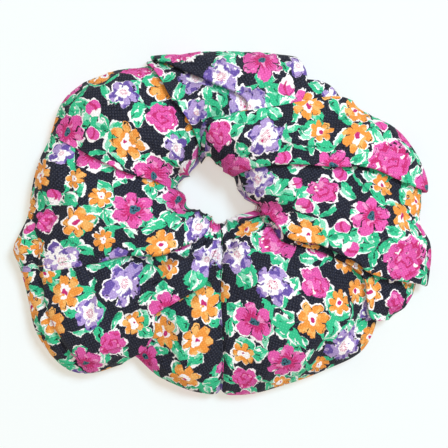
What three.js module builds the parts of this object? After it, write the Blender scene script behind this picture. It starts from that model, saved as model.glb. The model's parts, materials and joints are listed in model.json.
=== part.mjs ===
// A gathered cotton scrunchie lying flat: a printed fabric tube, closed into a ring by one cross seam,
// with a braided elastic band loose inside it. Millimetres, +Z up. The origin is on the surface that the
// scrunchie lies on, under the middle of its outline. +X is the way it is pulled open.
import * as THREE from "three";
import { ParametricGeometry } from "three/addons/geometries/ParametricGeometry.js";

// Driving dimensions.
const HOLE_CENTRE = new THREE.Vector2(-4.06, 8.99); // the middle of the ring, seen from above
const HEIGHT = 24; // the ring's greatest height
const WALL = 1.4; // a fabric wall with its gathers, as one layer
const HEM_WALL = 2.0; // the wall where the tube's ends are turned in
const ARC_GAP = 0.4; // between neighbouring stretches of the cover
const SEAM_GAP = 1.3; // between the tube's two ends, where the closing stitches run
const SEAM_AT = -87; // degrees: the way from the hole to the closing seam
const HEM_DEGREES = 7; // how far the turned-in ends reach round the ring

const ELASTIC_WIDTH = 6;
const ELASTIC_THICKNESS = 1;
const ELASTIC_RADIUS = 27; // the relaxed loop
const ELASTIC_LAP_DEGREES = 26; // the two ends lie over each other along this much of the loop
const ELASTIC_PLY_STEP = 1.4; // from the middle of one lapped end to the middle of the other
const ELASTIC_HEIGHT = 9; // the middle of the band above the floor

const THREAD_RADIUS = 0.25;
const CLEAR = 0.35; // between a thread and the fabric it holds
const ALLOWANCE_WIDTH = 6; // the raw edges inside the lengthwise seam
const ALLOWANCE_THICKNESS = 0.8;

// The outline from the middle of the hole: degrees, then the outer radius and the hole's radius.
const OUTLINE = [
  [0, 63.4, 7.6],
  [15, 58.4, 7.4],
  [30, 49.5, 7.2],
  [46, 46.5, 7.4],
  [58, 46.5, 7.8],
  [75, 42.2, 8.2],
  [92, 40.2, 8.4],
  [114, 43.0, 8.2],
  [135, 46.2, 7.6],
  [152, 49.4, 7.6],
  [172, 49.8, 8.4],
  [192, 57.4, 8.0],
  [210, 61.0, 7.6],
  [227, 64.2, 7.4],
  [243, 56.5, 7.2],
  [258, 55.0, 7.2],
  [273, 58.8, 8.0],
  [294, 59.0, 8.8],
  [314, 63.2, 9.2],
  [333, 67.8, 8.8],
  [348, 65.4, 8.0],
];

// The tube's section: 0 to 1 from the hole to the outer edge, then 0 to 1 of the height. It is flat where it lies.
const SECTION = [
  [0.08, 0],
  [0.3, 0],
  [0.6, 0],
  [0.9, 0],
  [0.97, 0.08],
  [1.0, 0.2],
  [0.97, 0.38],
  [0.86, 0.62],
  [0.7, 0.82],
  [0.52, 0.95],
  [0.34, 1.0],
  [0.18, 0.94],
  [0.06, 0.76],
  [0, 0.5],
  [0, 0.24],
  [0.02, 0.08],
];

const degrees = THREE.MathUtils.degToRad;

// A radius of the outline at any angle, smooth and closed. column is 1 for the outer edge and 2 for the hole.
function radiusAt(angle, column) {
  const turned = (((angle - OUTLINE[0][0]) % 360) + 360) % 360;
  const n = OUTLINE.length;
  const next = OUTLINE.findIndex((row) => row[0] - OUTLINE[0][0] > turned);
  const i = next < 0 ? n - 1 : next - 1;
  const start = OUTLINE[i][0];
  const end = i === n - 1 ? OUTLINE[0][0] + 360 : OUTLINE[i + 1][0];
  const t = (turned + OUTLINE[0][0] - start) / (end - start);
  const [a, b, c, d] = [n - 1, 0, 1, 2].map((step) => OUTLINE[(i + step) % n][column]);
  // Catmull-Rom between b and c
  return b + 0.5 * t * (c - a + t * (2 * a - 5 * b + 4 * c - d + t * (3 * (b - c) + d - a)));
}

// A point of the ring at an angle, a distance from the middle of the hole, and a height.
function ringPoint(angle, radius, z, target = new THREE.Vector3()) {
  const a = degrees(angle);
  return target.set(HOLE_CENTRE.x + radius * Math.cos(a), HOLE_CENTRE.y + radius * Math.sin(a), z);
}

// The section at an angle as [radius, z] points, moved inwards by inset.
function sectionAt(angle, inset) {
  const inner = radiusAt(angle, 2);
  const outer = radiusAt(angle, 1);
  const points = SECTION.map(([across, up]) => [inner + across * (outer - inner), up * HEIGHT]);
  const n = points.length;
  return points.map(([x, z], i) => {
    const [x0, z0] = points[(i + n - 1) % n];
    const [x1, z1] = points[(i + 1) % n];
    const length = Math.hypot(x1 - x0, z1 - z0);
    return [x - (inset * (z1 - z0)) / length, z + (inset * (x1 - x0)) / length];
  });
}

// One stretch of the cover between two angles, as a closed wall. wallAt gives its thickness at an angle.
// Each end stands back from its radial plane by half of the gap there, so the gap is even along it.
// Round the surface, the first parameter follows the section, and the second runs along the outside,
// over the end, back along the inside and over the other end.
function coverGeometry(from, to, gapFrom, gapTo, wallAt) {
  const steps = Math.max(6, Math.round((to - from) / 9));
  const stations = Array.from({ length: steps + 1 }, (_, i) => {
    const back = i === 0 ? gapFrom / 2 : i === steps ? -gapTo / 2 : 0;
    return { angle: from + ((to - from) * i) / steps, back };
  });
  const section = ({ angle, back }, inset) => {
    const a = degrees(angle);
    const aside = new THREE.Vector3(-Math.sin(a), Math.cos(a), 0).multiplyScalar(back);
    return sectionAt(angle, inset).map(([r, z]) => ringPoint(angle, r, z).add(aside));
  };
  const loops = [
    ...stations.map((station) => section(station, 0)),
    ...stations.map((station) => section(station, wallAt(station.angle))).reverse(),
  ];
  const around = SECTION.length;
  const place = (u, v, target) => {
    const loop = loops[Math.round(v * loops.length) % loops.length];
    target.copy(loop[Math.round((1 - u) * around) % around]);
  };
  return new ParametricGeometry(place, around, loops.length);
}

// A tube or strip along a path of points. The shape's x is the height and its y is across the ring.
function along(points, shape, steps) {
  return new THREE.ExtrudeGeometry(shape, {
    steps,
    extrudePath: new THREE.CatmullRomCurve3(points, false, "catmullrom", 0.5),
    bevelEnabled: false,
  });
}

function rectangle(height, width) {
  const shape = new THREE.Shape();
  shape.moveTo(-height / 2, -width / 2);
  shape.lineTo(height / 2, -width / 2);
  shape.lineTo(height / 2, width / 2);
  shape.lineTo(-height / 2, width / 2);
  shape.closePath();
  return shape;
}

function round(radius, sides) {
  const corners = Array.from({ length: sides }, (_, i) => {
    const a = (2 * Math.PI * i) / sides;
    return new THREE.Vector2(radius * Math.cos(a), radius * Math.sin(a));
  });
  return new THREE.Shape(corners);
}

// Points at even angles along the ring, each given by a function of the angle and of the share travelled.
function route(from, to, count, place) {
  return Array.from({ length: count + 1 }, (_, i) => {
    const share = i / count;
    return place(from + (to - from) * share, share);
  });
}

const materials = {
  print: new THREE.MeshStandardMaterial({ color: 0x2b2c3a, roughness: 0.9, metalness: 0 }),
  lining: new THREE.MeshStandardMaterial({ color: 0xd9d6d4, roughness: 0.95, metalness: 0 }),
  elastic: new THREE.MeshStandardMaterial({ color: 0xf2f0ea, roughness: 0.85, metalness: 0 }),
  thread: new THREE.MeshStandardMaterial({ color: 0x23232c, roughness: 0.7, metalness: 0 }),
};

const scrunchie = new THREE.Group();

function add(name, geometry, material) {
  const mesh = new THREE.Mesh(geometry, material);
  mesh.name = name;
  scrunchie.add(mesh);
}

// The printed cover, in stretches that part as the ring is pulled open. Two of them end at the closing seam.
const evenWall = () => WALL;
const hemmedWall = (angle) => {
  const away = Math.abs(angle - (SEAM_AT + 360));
  return WALL + (HEM_WALL - WALL) * THREE.MathUtils.clamp((HEM_DEGREES - away) / 2, 0, 1);
};

const seam = SEAM_AT + 360;
const STRETCHES = [
  ["cover_left", 135, 225, evenWall],
  ["cover_front_left", 225, seam, hemmedWall],
  ["cover_front_right", seam, 315, hemmedWall],
  ["cover_right", 315, 405, evenWall],
  ["cover_rear", 45, 135, evenWall],
];
for (const [name, from, to, wallAt] of STRETCHES) {
  const gapFrom = from === seam ? SEAM_GAP : ARC_GAP;
  const gapTo = to === seam ? SEAM_GAP : ARC_GAP;
  add(name, coverGeometry(from, to, gapFrom, gapTo, wallAt), materials.print);
}

// The elastic: one strip whose ends lap, so it runs once round the ring and a little further.
const ELASTIC_START = SEAM_AT - ELASTIC_LAP_DEGREES / 2 + 20;
const elasticEnd = ELASTIC_START + 360 + ELASTIC_LAP_DEGREES;
const elasticRadius = (angle) => ELASTIC_RADIUS + ELASTIC_PLY_STEP * ((angle - ELASTIC_START) / 360 - 0.5);
add(
  "elastic_band",
  along(
    route(ELASTIC_START, elasticEnd, 48, (angle) => ringPoint(angle, elasticRadius(angle), ELASTIC_HEIGHT)),
    rectangle(ELASTIC_WIDTH, ELASTIC_THICKNESS),
    72,
  ),
  materials.elastic,
);

// The thread that joins the lapped ends, wound over both plies in slanting turns.
const JOIN_TURNS = 5;
const CORNER_ROOM = 0.35; // so that the rounded turns still clear the band's corners
const joinHalfAcross = ELASTIC_PLY_STEP / 2 + ELASTIC_THICKNESS / 2 + CLEAR + THREAD_RADIUS + CORNER_ROOM;
const joinHalfUp = ELASTIC_WIDTH / 2 + CLEAR + THREAD_RADIUS + CORNER_ROOM;
const joinMiddle = ELASTIC_START + ELASTIC_LAP_DEGREES / 2;
const JOIN_CORNERS = [
  [1, -1],
  [1, 1],
  [-1, 1],
  [-1, -1],
];
const JOIN_REACH = ELASTIC_LAP_DEGREES * 0.6; // degrees of the lap that the thread covers
const joinPoints = Array.from({ length: JOIN_TURNS * 4 + 1 }, (_, i) => {
  const [across, up] = JOIN_CORNERS[i % 4];
  const angle = joinMiddle + (i / (JOIN_TURNS * 4) - 0.5) * JOIN_REACH;
  const radius = ELASTIC_RADIUS + across * joinHalfAcross;
  return ringPoint(angle, radius, ELASTIC_HEIGHT + up * joinHalfUp);
});
add("elastic_join_thread", along(joinPoints, round(THREAD_RADIUS, 6), JOIN_TURNS * 16), materials.thread);

// The closing stitches: one thread round the mouths of the tube's two ends, in and out of the turned edge.
const closingStations = 40;
const closingPoints = Array.from({ length: closingStations + 1 }, (_, i) => {
  const share = (i / closingStations) * 0.985;
  const wave = i % 2 ? 0.3 : -0.3;
  const loop = sectionAt(seam, HEM_WALL / 2 + wave);
  const at = share * loop.length;
  const [r0, z0] = loop[Math.floor(at) % loop.length];
  const [r1, z1] = loop[(Math.floor(at) + 1) % loop.length];
  const t = at - Math.floor(at);
  return ringPoint(seam, r0 + (r1 - r0) * t, z0 + (z1 - z0) * t);
});
add("closing_seam_thread", along(closingPoints, round(THREAD_RADIUS, 6), closingStations * 2), materials.thread);

// Inside the cover, the raw edges of the lengthwise seam lie on the underside, with their line of stitches.
const allowanceRadius = (angle) => {
  const inner = radiusAt(angle, 2);
  return inner + 0.76 * (radiusAt(angle, 1) - inner);
};
const allowanceStart = seam + 2;
const allowanceEnd = seam + 358;
const allowanceHeight = HEM_WALL + CLEAR + ALLOWANCE_THICKNESS / 2;
add(
  "lengthwise_seam_allowance",
  along(
    route(allowanceStart, allowanceEnd, 40, (angle) => ringPoint(angle, allowanceRadius(angle), allowanceHeight)),
    rectangle(ALLOWANCE_THICKNESS, ALLOWANCE_WIDTH),
    80,
  ),
  materials.lining,
);

const stitchHeight = allowanceHeight + ALLOWANCE_THICKNESS / 2 + CLEAR + THREAD_RADIUS;
const STITCH_INSET = 2; // from the middle of the raw edges towards the seam
add(
  "lengthwise_seam_thread",
  along(
    route(allowanceStart, allowanceEnd, 60, (angle, share) => {
      const wave = 0.1 * Math.cos(share * 60 * Math.PI);
      return ringPoint(angle, allowanceRadius(angle) + STITCH_INSET, stitchHeight + wave);
    }),
    round(THREAD_RADIUS, 6),
    90,
  ),
  materials.thread,
);

export default scrunchie;
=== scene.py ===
"""A gathered cotton scrunchie lying flat: a printed tube of cloth round an elastic band.

Lengths are millimetres until the meshes are made, bearings are degrees counter-clockwise from +X about the
middle of the hole, and "across" is 0 at the hole and 1 at the outer edge.
"""

import json
import math

import bpy
import numpy as np
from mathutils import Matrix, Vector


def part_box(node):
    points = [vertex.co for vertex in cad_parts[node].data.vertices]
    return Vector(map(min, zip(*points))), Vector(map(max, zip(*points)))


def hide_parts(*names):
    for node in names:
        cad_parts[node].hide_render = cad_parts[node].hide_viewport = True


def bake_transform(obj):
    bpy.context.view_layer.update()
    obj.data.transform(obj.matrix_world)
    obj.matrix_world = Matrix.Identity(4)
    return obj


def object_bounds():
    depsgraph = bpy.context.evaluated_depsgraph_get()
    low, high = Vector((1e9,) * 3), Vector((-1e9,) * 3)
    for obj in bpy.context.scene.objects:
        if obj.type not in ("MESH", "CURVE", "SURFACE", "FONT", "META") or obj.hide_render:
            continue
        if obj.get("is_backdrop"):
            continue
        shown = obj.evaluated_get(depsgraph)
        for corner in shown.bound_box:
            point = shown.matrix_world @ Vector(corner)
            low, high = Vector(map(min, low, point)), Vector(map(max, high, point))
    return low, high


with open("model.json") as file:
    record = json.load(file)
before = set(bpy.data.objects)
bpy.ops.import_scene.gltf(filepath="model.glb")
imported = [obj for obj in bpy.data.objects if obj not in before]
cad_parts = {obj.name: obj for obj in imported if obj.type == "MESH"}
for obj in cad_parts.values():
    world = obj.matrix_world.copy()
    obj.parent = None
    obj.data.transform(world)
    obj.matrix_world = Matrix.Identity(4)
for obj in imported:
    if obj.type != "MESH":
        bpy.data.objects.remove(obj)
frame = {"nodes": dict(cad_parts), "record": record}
cad_low, cad_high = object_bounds()

MM = 0.001
opening_low, opening_high = frame["record"]["physics"]["openings"][0]["box_m"]
HOLE = (np.array(opening_low[:2]) + np.array(opening_high[:2])) / 2 / MM
TOP = cad_high[2] / MM - 1.5  # the tube's height without its crowns
SEED = 24  # for the print
THREAD = 0.57  # from one thread of the weave to the next
YARN = 0.55  # from one yarn of the braid to the next
CLOTH_THICKNESS = 0.22
THREAD_RADIUS = 0.2
PLY_TWIST = 1.6  # how far the thread runs in one turn of its plies
STITCH = 2.5

# ---------------------------------------------------------------- the tube's outline and section

# bearing, radius of the outer edge
OUTLINE = [
    (-86, 58.6), (-78, 58.8), (-66, 59.0), (-47, 62.6), (-40, 63.6), (-35, 63.0), (-30, 66.6),
    (-25, 68.2), (-18, 66.4), (-13, 64.6), (-8, 61.4), (-3, 62.8), (1, 63.0), (8, 61.0),
    (15, 58.3), (20, 55.6), (25, 51.9), (31, 48.9), (39, 48.3), (44, 46.6), (50, 44.0),
    (57, 42.8), (62, 42.4), (68, 42.2), (76, 41.2), (88, 40.1), (102, 40.2), (115, 43.2),
    (131, 44.6), (140, 47.6), (150, 49.6), (162, 48.8), (172, 49.8), (180, 51.2), (188, 52.9),
    (192, 55.3), (196, 58.3), (203, 58.9), (212, 61.3), (219, 63.5), (227, 64.8), (233, 64.2),
    (238, 60.6), (243, 55.4), (248, 54.3), (256, 54.8), (266, 57.3),
]  # fmt: skip
# The flap at the far side stands out past its neighbour as far as its square corner.
FLAP_OUTLINE = [
    (40, 47.0), (57, 47.0), (62, 45.0), (68, 43.4), (76, 41.4), (88, 40.1), (102, 40.2), (115, 43.2),
]  # fmt: skip
# bearing, radius of the hole
HOLE_EDGE = [
    (-86, 7.1), (-77, 8.7), (-52, 8.4), (-27, 11.0), (-17, 13.4), (-9, 9.8), (13, 7.5), (34, 7.9), (75, 7.6),
    (94, 10.6), (101, 9.4), (116, 7.2), (147, 7.6), (171, 9.4), (184, 7.0), (207, 7.2), (251, 5.8),
]  # fmt: skip

# The section as (across, share of the height), from the hole's edge over the top and back underneath.
SECTION = [
    (0.0, 0.42), (0.03, 0.62), (0.10, 0.80), (0.20, 0.93), (0.33, 1.0), (0.48, 0.97),
    (0.62, 0.89), (0.75, 0.77), (0.86, 0.62), (0.94, 0.46), (0.985, 0.31), (1.0, 0.20),
    (0.985, 0.10), (0.93, 0.02), (0.85, 0.0), (0.6, 0.0), (0.35, 0.0), (0.15, 0.0),
    (0.06, 0.05), (0.01, 0.20),
]  # fmt: skip

# ---------------------------------------------------------------- the folds

# Each fold line runs from the hole outwards as (radius, bearing). facing is +1 if the upper lobe lies on the
# side of the smaller bearings, -1 if it lies on the other side, and 0 for the stitched seam. depth is how far
# the lower lobe starts below the upper one, and tuck is how far the cloth between them runs back.
FOLDS = [
    dict(name="seam", facing=0,
         line=[(9, -75.5), (30, -84.6), (44, -85.2), (58, -86.9)],
         depth=[(0, 1.6), (0.5, 2.4), (1, 2.0)],
         tuck=[(0, 2), (1, 2)]),
    dict(name="corner", facing=-1,
         line=[(10, -17), (14, -20), (19, -28), (25, -31.5), (40, -27.5), (49, -28.5), (53.3, -33.4),
               (58, -38), (63, -35.5)],
         depth=[(0, 0.8), (0.6, 1.6), (0.75, 3.0), (1, 3.4)],
         tuck=[(0, 1.5), (0.6, 2.5), (0.8, 6), (1, 6)]),
    dict(name="right_low", facing=-1,
         line=[(10, -14), (14, -17), (19, -25), (25.5, -30.5), (34.4, -25.7), (45.7, -25.9), (49, -27.0),
               (61, -24.7), (66, -23.5)],
         depth=[(0, 2.0), (0.15, 4.2), (0.3, 4.6), (0.6, 3.6), (1, 3.6)],
         tuck=[(0, 2), (0.2, 6), (0.6, 8), (1, 7)]),
    dict(name="right_high", facing=-1,
         line=[(8.6, 31.6), (12.7, 27.7), (24, 17.8), (34.7, 11.2), (45, 8.6), (55, 2.8), (63, 0)],
         depth=[(0, 2.4), (0.2, 3.2), (0.5, 3.4), (0.68, 4.6), (0.85, 3.0), (1, 2.2)],
         tuck=[(0, 2), (0.2, 5), (0.6, 8), (1, 5)]),
    dict(name="shoulder", facing=1,
         line=[(8, 98), (12.4, 95.2), (16.6, 91.9), (19.8, 83.5), (21.9, 74.4), (25.8, 62), (36.1, 45.3),
               (43, 39.4), (48.4, 33.1)],
         depth=[(0, 1.6), (0.2, 3.0), (0.6, 3.6), (0.85, 2.8), (1, 2.6)],
         tuck=[(0, 1.5), (0.25, 5), (0.6, 8), (1, 5)]),
    dict(name="flap_end", facing=-1,
         line=[(8, 96), (12.5, 92), (20, 76), (27, 54), (36, 44.5), (41.3, 51), (47.4, 57.5)],
         depth=[(0, 0.5), (0.6, 1.4), (0.9, 2.6), (1, 2.6)],
         tuck=[(0, 1.2), (0.6, 3), (0.9, 6), (1, 6)]),
    dict(name="flap", facing=1,
         line=[(8, 97.5), (12.5, 93.5), (20, 80), (24, 65.5), (27.2, 68), (30.4, 88.9), (35.7, 103.7),
               (42.1, 113.7)],
         depth=[(0, 0.6), (0.45, 2.0), (0.7, 3.0), (1, 2.0)],
         tuck=[(0, 1.2), (0.45, 5), (0.7, 9), (1, 4)]),
    dict(name="triangle", facing=1,
         line=[(8, 101.5), (12.7, 102.5), (18.4, 105.1), (23.9, 109.3), (27.8, 112.3), (34, 113.3),
               (43.3, 115.8)],
         depth=[(0, 0.6), (0.3, 1.6), (0.7, 2.0), (1, 1.2)],
         tuck=[(0, 1.2), (0.3, 3), (0.7, 5), (1, 3)]),
    dict(name="left_high", facing=1,
         line=[(8, 176), (10.5, 173.8), (14.6, 169.5), (21.3, 168), (28.2, 165.5), (36.3, 162.8), (49, 160)],
         depth=[(0, 1.2), (0.15, 2.4), (0.5, 2.8), (0.7, 1.6), (1, 0.5)],
         tuck=[(0, 2), (0.2, 5), (0.5, 6), (0.75, 3), (1, 1.5)]),
    dict(name="left_low", facing=1,
         line=[(8, 271), (9.6, 269), (13.3, 256), (21, 234.8), (26.5, 222), (38, 212), (58, 203)],
         depth=[(0, 0.8), (0.12, 4.5), (0.2, 6.4), (0.36, 6.0), (0.5, 2.0), (0.65, 0.4), (1, 0.3)],
         tuck=[(0, 0.8), (0.15, 7), (0.36, 8), (0.55, 2), (1, 1.2)]),
    dict(name="bottom_left", facing=1,
         line=[(8, 277), (16, 271), (25.6, 268), (28.3, 260.8), (34.9, 249.2), (37.3, 246.5), (42.6, 248.7),
               (47.2, 248.2), (54.9, 243.2)],
         depth=[(0, 0.5), (0.25, 1.6), (0.4, 5.0), (0.6, 4.2), (0.8, 3.4), (1, 3.6)],
         tuck=[(0, 0.6), (0.3, 3), (0.5, 7), (1, 7)]),
]  # fmt: skip
RISE = 13.0  # how far from a fold the lower lobe takes to come back up


def closed(points, bearings):
    """A radius at any bearings, smoothly round the whole circle through the (bearing, radius) points."""
    b = np.array([p[0] for p in points], float)
    r = np.array([p[1] for p in points], float)
    b = np.concatenate([b[-3:] - 360, b, b[:3] + 360])
    r = np.concatenate([r[-3:], r, r[:3]])
    return spline(b, r, (np.asarray(bearings) - b[3]) % 360 + b[3])


def spline(xs, ys, x):
    """A cubic through the points, with its slopes limited so that it doesn't overshoot."""
    xs, ys = np.asarray(xs, float), np.asarray(ys, float)
    h, d = np.diff(xs), np.diff(ys) / np.diff(xs)
    m = np.concatenate([[d[0]], (d[:-1] + d[1:]) / 2, [d[-1]]])
    flat = np.concatenate([[False], d[:-1] * d[1:] <= 0, [False]])
    m[flat] = 0
    limit = 3 * np.minimum(np.abs(np.append(d[0], d)), np.abs(np.append(d, d[-1])))
    m = np.clip(m, -limit, limit)
    x = np.clip(x, xs[0], xs[-1])
    i = np.clip(np.searchsorted(xs, x, side="right") - 1, 0, len(xs) - 2)
    t = (x - xs[i]) / h[i]
    return (
        (2 * t**3 - 3 * t**2 + 1) * ys[i] + (t**3 - 2 * t**2 + t) * h[i] * m[i]
        + (3 * t**2 - 2 * t**3) * ys[i + 1] + (t**3 - t**2) * h[i] * m[i + 1]
    )  # fmt: skip


def smooth(x):
    """An even step from 0 to 1 as x goes from 0 to 1."""
    x = np.clip(x, 0, 1)
    return x * x * (3 - 2 * x)


SECTION_WIDTH = 50.0  # the width of tube that the rows are spaced for


def section_rows(count):
    """Rows evenly spaced along the section: across, share of the height, underneath or not, and run in mm."""
    corners = np.array(SECTION) * [SECTION_WIDTH, TOP]
    loop = np.vstack([corners[-1:], corners, corners[:2]])
    fine = []
    for a, b, c, d in zip(loop[:-3], loop[1:-2], loop[2:-1], loop[3:]):
        for t in np.linspace(0, 1, 24, endpoint=False):
            square, cube = 2 * a - 5 * b + 4 * c - d, 3 * (b - c) + d - a
            fine.append(0.5 * (2 * b + t * (c - a) + t * t * square + t**3 * cube))
    fine = np.array(fine + fine[:1])
    run = np.concatenate([[0], np.cumsum(np.linalg.norm(np.diff(fine, axis=0), axis=1))])
    at = np.linspace(0, run[-1], count, endpoint=False)
    rows = np.stack([np.interp(at, run, fine[:, k]) for k in (0, 1)], axis=1) / [SECTION_WIDTH, TOP]
    rim = int(np.argmax(rows[:, 0]))
    return np.clip(rows[:, 0], 0, 1), rows[:, 1], np.arange(count) > rim, at, rim


ROWS = 112
across, up, under, run_mm, RIM = section_rows(ROWS)
SEAM_ROW = int(np.nonzero(under & (across < 0.8))[0][0])  # where the lengthwise seam runs, underneath


def fold_line(fold):
    """The fold's bearing at each row. Underneath it runs straight from the outer edge back to the hole."""
    r = np.array([p[0] for p in fold["line"]], float)
    b = np.array([p[1] for p in fold["line"]], float)
    share = (r - closed(HOLE_EDGE, b)) / (closed(OUTLINE, b) - closed(HOLE_EDGE, b))
    share = np.maximum.accumulate(np.clip(share, 0, 1) + 1e-4 * np.arange(len(r)))
    top = spline(share, b, across)
    low = b[0] + (b[-1] - b[0]) * smooth(across) ** 0.8
    return np.where(under, low, top)


def by_row(pairs, least, share_under):
    """A fold's depth or tuck at each row. Underneath it fades from a share of its value at the rim."""
    values = np.interp(across, [p[0] for p in pairs], [p[1] for p in pairs])
    edge = pairs[-1][1]
    below = np.maximum(least, edge * share_under * smooth(across * 1.3))
    mix = smooth((np.arange(ROWS) - RIM) / 10)
    return values * (1 - mix) + below * mix


def fold_path():
    """The cloth's way through a fold, step by step: x in tip radii, tucks and mm, then depth in radii."""
    steps = [(-2.2, 0, -1.6, 0.0), (-1.6, 0, -0.8, 0.0)]
    for a in np.radians(np.linspace(-90, 90, 7)):  # round the upper lobe's tip
        steps.append((-1 + math.cos(a), 0, 0, 1 + math.sin(a)))
    for t in (0.3, 0.6):  # back under it
        steps.append((-1 + t * 2, -t, 0, 2))
    for a in np.radians(np.linspace(90, 270, 5)):  # round the end of the tuck
        steps.append((1 + math.cos(a), -1, 0, 3 - math.sin(a)))
    for t in (0.7, 0.4, 0.15):  # and out along the lower lobe
        steps.append((t, -t, 0, 4.05))
    steps.append((0, 0, 0.6, 4.2))
    steps.append((0, 0, 1.6, 4.25))
    return np.array(steps)


PATH = fold_path()
SEAM_X = np.array([-4, -2.8, -1.9, -1.2, -0.75, -0.4, 0, 0.4, 0.75, 1.2, 1.9, 2.8, 4])  # the seam's columns

lines = [fold_line(f) for f in FOLDS]
depths = [by_row(f["depth"], 0.5, 0.6) for f in FOLDS]
tucks = [by_row(f["tuck"], 1.2, 0.6) for f in FOLDS]


def mid_radius(bearing_rows):
    """The radius of a column at each row, given its bearing there."""
    inner, outer = closed(HOLE_EDGE, bearing_rows), closed(OUTLINE, bearing_rows)
    return inner + across * (outer - inner)


# ---------------------------------------------------------------- columns round the ring

# Each column has its bearing, inward offset and looseness at each row, its panel, its own fold if it is in
# one, and how far it belongs to the flap.
columns = []
COLUMN_WIDTH = 1.35


def panel_columns(k):
    """The columns of the panel after fold k, up to the next fold."""
    nxt = (k + 1) % len(FOLDS)
    turn = 360 if nxt == 0 else 0
    start, end = lines[k].copy(), lines[nxt] + turn
    r = mid_radius((start + end) / 2)
    start_in = edge_inset(k, +1)
    end_in = edge_inset(nxt, -1)
    start = start + np.degrees(start_in / r)
    end = end - np.degrees(end_in / r)
    narrow = end - start < np.degrees(0.4 / r)
    middle = (start + end) / 2
    start = np.where(narrow, middle - np.degrees(0.2 / r), start)
    end = np.where(narrow, middle + np.degrees(0.2 / r), end)
    width = np.radians(end - start) * r
    count = max(5, int(np.max(width) / COLUMN_WIDTH))
    for i in range(count):
        s = (i + 0.5) / count
        bearing = start + (end - start) * s
        crown = np.minimum(0.055 * width, 2.2) * math.sin(math.pi * s) ** 0.7
        side = 1 - 0.75 * smooth((across - 0.75) / 0.25)
        crown = crown * np.where(under, 0.0, side) * smooth(across / 0.12)
        loose = np.minimum(1, np.minimum(s, 1 - s) * width / 5)
        columns.append(dict(bearing=bearing, inward=-crown, panel=k, own=None, loose=loose,
                            flap=1.0 if FOLDS[k]["name"] == "flap_end" else 0.0))


SEAM_WIDTH = 0.22 + 0.78 * smooth(across / 0.4)  # the seam's dip is narrower where the cloth is gathered


def edge_inset(k, direction):
    """How far the panel's first column stands from fold k. direction is +1 for the panel after it."""
    fold = FOLDS[k]
    if fold["facing"] == 0:
        return 4.8 * SEAM_WIDTH
    upper = fold["facing"] != direction  # the panel before a fold that faces +1 is its upper lobe
    return 0.44 * depths[k] + 2.4 if upper else np.full(ROWS, 2.6)


def fold_columns(k):
    """The columns that run through fold k, or across the dip of the seam."""
    fold = FOLDS[k]
    depth, tuck = depths[k], tucks[k]
    if fold["facing"] == 0:
        for x in SEAM_X:
            r = mid_radius(lines[k])
            columns.append(dict(bearing=lines[k] + np.degrees(x * SEAM_WIDTH / r),
                                inward=depth * np.exp(-abs(x) / 0.9),
                                panel=k if x > 0 else k - 1, own=k, loose=np.full(ROWS, 0.0), flap=0.0))
        return
    tip = 0.2 * depth
    steps = PATH if fold["facing"] > 0 else PATH[::-1]
    sign = fold["facing"]
    r = mid_radius(lines[k])
    for i, (x_tip, x_tuck, x_mm, d_tip) in enumerate(steps):
        x = x_tip * tip + x_tuck * tuck + x_mm
        inward = d_tip * tip
        before = i < len(steps) // 2 + 1
        upper_share = i / (len(steps) - 1) if sign < 0 else 1 - i / (len(steps) - 1)
        columns.append(dict(bearing=lines[k] + sign * np.degrees(x / r), inward=inward,
                            panel=k - 1 if before else k, own=k, loose=np.full(ROWS, 0.0),
                            flap=upper_share if fold["name"] == "flap_end" else 0.0))


for k in range(len(FOLDS)):
    fold_columns(k)
    panel_columns(k)
# The flap keeps its own outline as far as the fold that it lies over.
flap_index = [f["name"] for f in FOLDS].index("flap")
for c in columns:
    if c["own"] == flap_index:
        c["flap"] = 1.0

bearing = np.array([c["bearing"] for c in columns]).T  # rows x columns
inward = np.array([c["inward"] for c in columns]).T
loose = np.array([c["loose"] for c in columns]).T
flap = np.array([c["flap"] for c in columns])
panel = np.array([c["panel"] % len(FOLDS) for c in columns])
own = np.array([-1 if c["own"] is None else c["own"] for c in columns])
COLUMNS = len(columns)

# Every lobe lies low beside the folds that it goes under.
order = np.arange(COLUMNS)
for k, fold in enumerate(FOLDS):
    if fold["facing"] == 0:
        continue
    mine = np.nonzero(own == k)[0]
    r = mid_radius(lines[k])[:, None]
    x = np.radians(bearing - lines[k][:, None]) * r * fold["facing"]
    turn = 2 * np.pi * r
    x = (x + turn / 2) % turn - turn / 2
    steps_after = (order - mine[-1]) % COLUMNS if fold["facing"] > 0 else (mine[0] - order) % COLUMNS
    lower = (steps_after > 0) & (steps_after < COLUMNS // 3)
    low = 0.85 * depths[k][:, None] * (1 - smooth(np.maximum(x, 0) / RISE))
    inward += np.where(lower[None, :] & (own != k)[None, :], low, 0)

# ---------------------------------------------------------------- gathers

rng = np.random.default_rng(7)
turns = np.linspace(0, 2 * np.pi, COLUMNS, endpoint=False)[None, :]
a = across[:, None]
ripple = np.zeros_like(inward)
for waves, size, reach in ((19, 0.35, 0.30), (29, 0.32, 0.22), (43, 0.28, 0.16), (61, 0.2, 0.12)):
    phase, twist = rng.uniform(0, 2 * np.pi), rng.uniform(-3, 3)
    ripple += size * np.exp(-a / reach) * np.cos(waves * turns + phase + twist * a)
for waves, size in ((13, 0.35), (23, 0.28), (37, 0.16)):
    phase, twist = rng.uniform(0, 2 * np.pi), rng.uniform(-4, 4)
    swell = 0.5 + 0.5 * np.cos(rng.integers(2, 5) * turns + rng.uniform(0, 6))
    ripple += size * swell * np.cos(waves * turns + phase + twist * a)
inward = inward + ripple * np.where(under[:, None], 0.35, 1.0)

# Underneath and round the hole the cloth is drawn up in small gathers, which all go inwards.
GATHERS = 42  # round the ring
# (across, how deep) underneath and above
GATHER = [
    (0.0, 0.0), (0.06, 0.4), (0.12, 2.2), (0.2, 4.8), (0.4, 5.9), (0.6, 5.6), (0.7, 4.4), (0.84, 2.8),
    (1.0, 0.0),
]  # fmt: skip
GATHER_ABOVE = [(0.0, 0.0), (0.1, 0.3), (0.3, 0.0), (1.0, 0.0)]


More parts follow.
